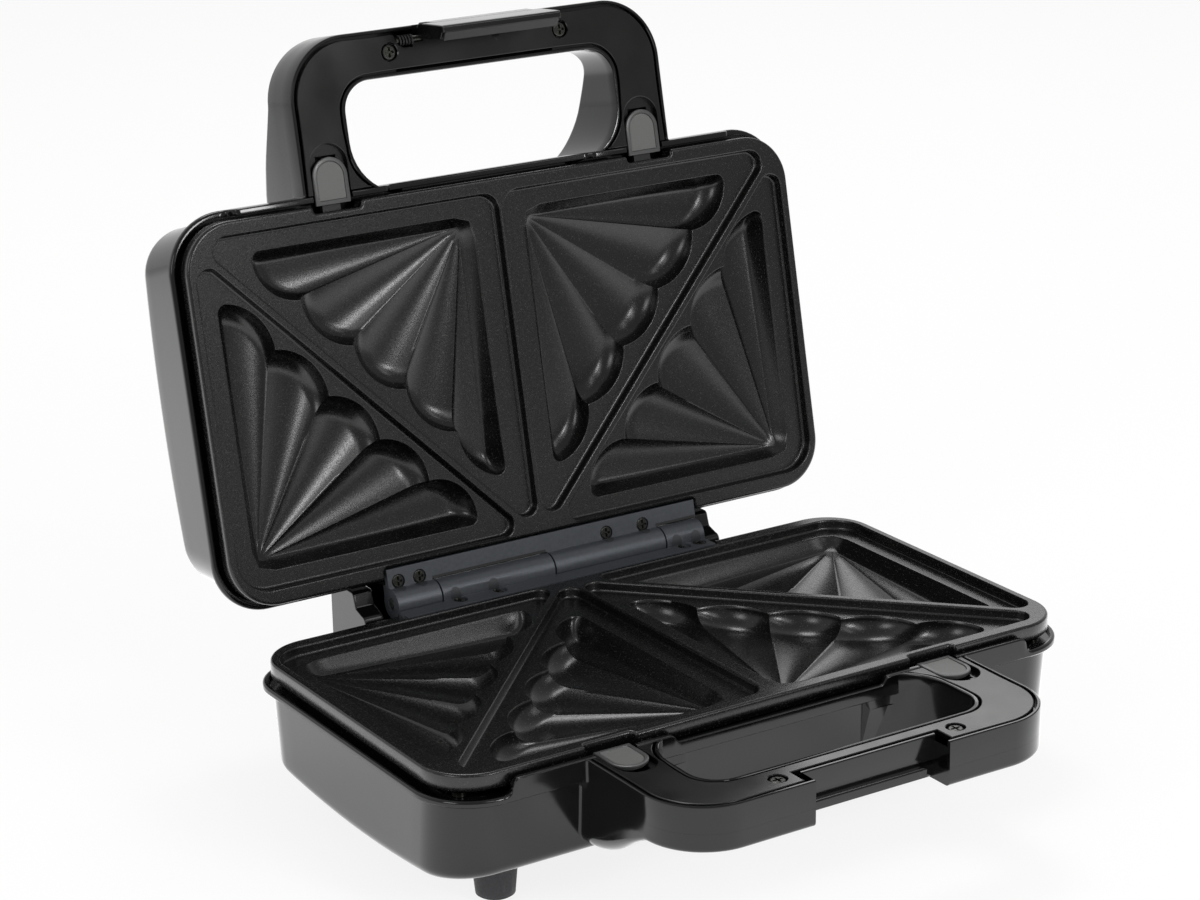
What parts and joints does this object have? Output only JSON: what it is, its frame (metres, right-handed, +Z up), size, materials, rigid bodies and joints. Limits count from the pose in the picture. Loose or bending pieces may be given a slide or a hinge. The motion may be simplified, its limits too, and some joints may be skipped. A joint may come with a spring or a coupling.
{
  "type": "sandwich toaster",
  "caption": "Countertop sandwich toaster shown open: hinged clam-shell of black plastic with removable ridged non-stick plates, loop handles, a front latch and a knuckle hinge",
  "frame": {"origin": "on the table, under the middle of the box round the toaster as it stands open", "axes": "+X to the toaster's right along its hinge, +Y towards the hinge, +Z up; the handles point to -Y"},
  "size_m": [0.281, 0.2973, 0.2795],
  "materials": {
    "housing": "moulded black, fine gloss",
    "frame": "moulded black, gloss",
    "inlay": "polished black",
    "latch": "moulded black, gloss",
    "nonstick": "cast, with a speckled dark non-stick coating",
    "reflector": "pressed aluminised sheet",
    "element": "sheathed tubular heater, oxidised",
    "hinge": "die-cast, satin grey paint",
    "button": "moulded mid-grey, fine matt",
    "black_screw": "blackened steel",
    "steel_screw": "zinc-plated steel",
    "spring": "drawn spring wire",
    "foot": "moulded dark grey rubber",
    "gland": "moulded black rubber",
    "ceramic": "cream ceramic",
    "fuse": "plain brass case",
    "red_lens": "clear red",
    "green_lens": "clear green",
    "lamp_glass": "clear neon lamp"
  },
  "bodies": {
    "base": {"base_shell": "housing", "base_frame": "frame", "base_plate": "nonstick", "base_reflector": "reflector", "base_element": "element", "base_handle_cover": "inlay", "base_cover_screws": "black_screw", "base_body_screws": "steel_screw", "base_spring_left": "spring", "base_spring_right": "spring", "base_hinge_leaf": "hinge", "base_hinge_screws": "black_screw", "base_terminals": "ceramic", "hinge_pin": "steel_screw", "front_feet": "foot", "rear_feet": "foot", "cord_gland": "gland", "thermostat": "ceramic", "thermal_fuse": "fuse"},
    "lid": {"lid_shell": "housing", "lid_frame": "frame", "lid_plate": "nonstick", "lid_reflector": "reflector", "lid_element": "element", "lid_handle_cover": "inlay", "lid_cover_screws": "black_screw", "lid_body_screws": "steel_screw", "lid_spring_left": "spring", "lid_spring_right": "spring", "lid_hinge_leaf": "hinge", "lid_hinge_screws": "black_screw", "lid_terminals": "ceramic", "latch_pin": "steel_screw", "latch_spring": "spring", "power_lens": "red_lens", "ready_lens": "green_lens", "lamps": "lamp_glass"},
    "latch": {"latch": "latch"},
    "base_button_left": {"base_button_left": "button"},
    "base_button_right": {"base_button_right": "button"},
    "lid_button_left": {"lid_button_left": "button"},
    "lid_button_right": {"lid_button_right": "button"}
  },
  "joints": [
    {"name": "lid_hinge", "type": "hinge", "parent": "base", "child": "lid", "pos_m": [0, 0.07158, 0.061], "axis": [1, 0, 0], "range_deg": [0, 101.5]},
    {"name": "latch_pivot", "type": "hinge", "parent": "lid", "child": "latch", "pos_m": [0, 0.11837, 0.27089], "axis": [-1, 0, 0], "range_deg": [0, 35], "stiffness_Nm_per_rad": 0.02},
    {"name": "base_left_release", "type": "slide", "parent": "base", "child": "base_button_left", "axis": [0, -1, 0], "range_m": [0, 0.004], "stiffness_N_per_m": 150, "deforming": ["base_spring_left"]},
    {"name": "base_right_release", "type": "slide", "parent": "base", "child": "base_button_right", "axis": [0, -1, 0], "range_m": [0, 0.004], "stiffness_N_per_m": 150, "deforming": ["base_spring_right"]},
    {"name": "lid_left_release", "type": "slide", "parent": "lid", "child": "lid_button_left", "axis": [0, 0.1994, 0.9799], "range_m": [0, 0.004], "stiffness_N_per_m": 150, "deforming": ["lid_spring_left"]},
    {"name": "lid_right_release", "type": "slide", "parent": "lid", "child": "lid_button_right", "axis": [0, 0.1994, 0.9799], "range_m": [0, 0.004], "stiffness_N_per_m": 150, "deforming": ["lid_spring_right"]}
  ]
}
